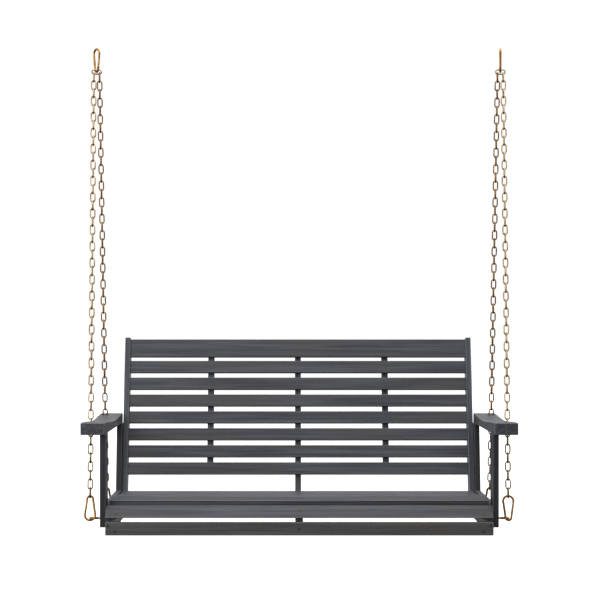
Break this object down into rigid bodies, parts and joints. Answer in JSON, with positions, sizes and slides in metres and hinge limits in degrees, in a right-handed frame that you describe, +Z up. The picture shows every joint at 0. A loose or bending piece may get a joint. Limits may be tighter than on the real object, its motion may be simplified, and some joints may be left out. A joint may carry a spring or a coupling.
{
  "type": "porch swing",
  "caption": "Two-seat slatted hardwood porch swing with armrests and a leaning back, hung by chains from spring hooks.",
  "frame": {"origin": "midway between the two points where the top spring hooks hang, at their eyes' inner top", "axes": "+X to the right as seen from the front, +Y from the front of the seat to the back, +Z up"},
  "size_m": [1.328, 0.6547, 1.513],
  "materials": {
    "grey_hardwood": "stained charcoal grey, satin, slight wear along the edges",
    "apron_hardwood": "stained charcoal, a little browner, satin",
    "plated_chain": "yellow zinc plated",
    "plated_hooks": "yellow zinc plated",
    "dark_screws": "antique brass plated, dull"
  },
  "bodies": {
    "hangers": {"top_hook_l": "plated_hooks", "top_hook_r": "plated_hooks", "top_rivets": "plated_hooks"},
    "swing": {"side_rail_l": "grey_hardwood", "side_rail_r": "grey_hardwood", "corner_block_l": "grey_hardwood", "corner_block_r": "grey_hardwood", "center_rail": "grey_hardwood", "front_apron": "apron_hardwood", "nose_slat": "grey_hardwood", "deck_slat_1": "grey_hardwood", "deck_slat_2": "grey_hardwood", "deck_slat_3": "grey_hardwood", "deck_slat_4": "grey_hardwood", "deck_slat_5": "grey_hardwood", "side_board_l": "grey_hardwood", "side_board_r": "grey_hardwood", "front_post_l": "grey_hardwood", "front_post_r": "grey_hardwood", "rear_support_l": "grey_hardwood", "rear_support_r": "grey_hardwood", "arm_l": "grey_hardwood", "arm_r": "grey_hardwood", "back_stile_l": "grey_hardwood", "back_stile_r": "grey_hardwood", "back_slat_1": "grey_hardwood", "back_slat_2": "grey_hardwood", "back_slat_3": "grey_hardwood", "back_slat_4": "grey_hardwood", "back_slat_5": "grey_hardwood", "back_slat_6": "grey_hardwood", "back_slat_7": "grey_hardwood", "back_slat_8": "grey_hardwood", "back_center_post": "grey_hardwood", "back_batten_l": "grey_hardwood", "back_batten_r": "grey_hardwood", "rear_stretcher": "grey_hardwood", "wood_screws": "dark_screws", "frame_bolts": "dark_screws", "frame_nuts": "dark_screws", "eye_bolts": "plated_hooks", "eye_washers": "plated_hooks", "eye_nuts": "plated_hooks", "hook_front_l": "plated_hooks", "hook_front_r": "plated_hooks", "hook_rear_l": "plated_hooks", "hook_rear_r": "plated_hooks", "lower_rivets": "plated_hooks", "apex_links": "plated_chain", "chain_front_l": "plated_chain", "chain_front_r": "plated_chain", "chain_rear_l": "plated_chain", "chain_rear_r": "plated_chain"},
    "top_gate_l_body": {"top_gate_l": "plated_hooks"},
    "top_gate_r_body": {"top_gate_r": "plated_hooks"},
    "gate_front_l_body": {"gate_front_l": "plated_hooks"},
    "gate_front_r_body": {"gate_front_r": "plated_hooks"},
    "gate_rear_l_body": {"gate_rear_l": "plated_hooks"},
    "gate_rear_r_body": {"gate_rear_r": "plated_hooks"}
  },
  "joints": [
    {"name": "swing", "type": "hinge", "parent": "hangers", "child": "swing", "pos_m": [0, 0, -0.0628], "axis": [1, 0, 0], "range_deg": [-25, 25]},
    {"name": "top_gate_l_spring", "type": "hinge", "parent": "hangers", "child": "top_gate_l_body", "pos_m": [-0.64009, -0.00705, -0.05677], "axis": [-0.766, -0.6428, 0], "range_deg": [0, 26], "stiffness_Nm_per_rad": 0.2, "springref_deg": -28.65},
    {"name": "top_gate_r_spring", "type": "hinge", "parent": "hangers", "child": "top_gate_r_body", "pos_m": [0.6444, -0.00906, -0.05677], "axis": [-0.9848, 0.1736, 0], "range_deg": [0, 26], "stiffness_Nm_per_rad": 0.2, "springref_deg": -28.65},
    {"name": "gate_front_l_spring", "type": "hinge", "parent": "swing", "child": "gate_front_l_body", "pos_m": [-0.64111, -0.28769, -1.4072], "axis": [0, -0.9774, 0.2113], "range_deg": [0, 26], "stiffness_Nm_per_rad": 0.2, "springref_deg": -28.65},
    {"name": "gate_front_r_spring", "type": "hinge", "parent": "swing", "child": "gate_front_r_body", "pos_m": [0.6403, -0.29774, -1.45366], "axis": [0, -0.9774, 0.2113], "range_deg": [0, 26], "stiffness_Nm_per_rad": 0.2, "springref_deg": -28.65},
    {"name": "gate_rear_l_spring", "type": "hinge", "parent": "swing", "child": "gate_rear_l_body", "pos_m": [-0.64043, 0.15106, -1.4297], "axis": [0, -0.9938, -0.1109], "range_deg": [0, 26], "stiffness_Nm_per_rad": 0.2, "springref_deg": -28.65},
    {"name": "gate_rear_r_spring", "type": "hinge", "parent": "swing", "child": "gate_rear_r_body", "pos_m": [0.64043, 0.15106, -1.4297], "axis": [0, 0.9938, 0.1109], "range_deg": [0, 26], "stiffness_Nm_per_rad": 0.2, "springref_deg": -28.65}
  ]
}
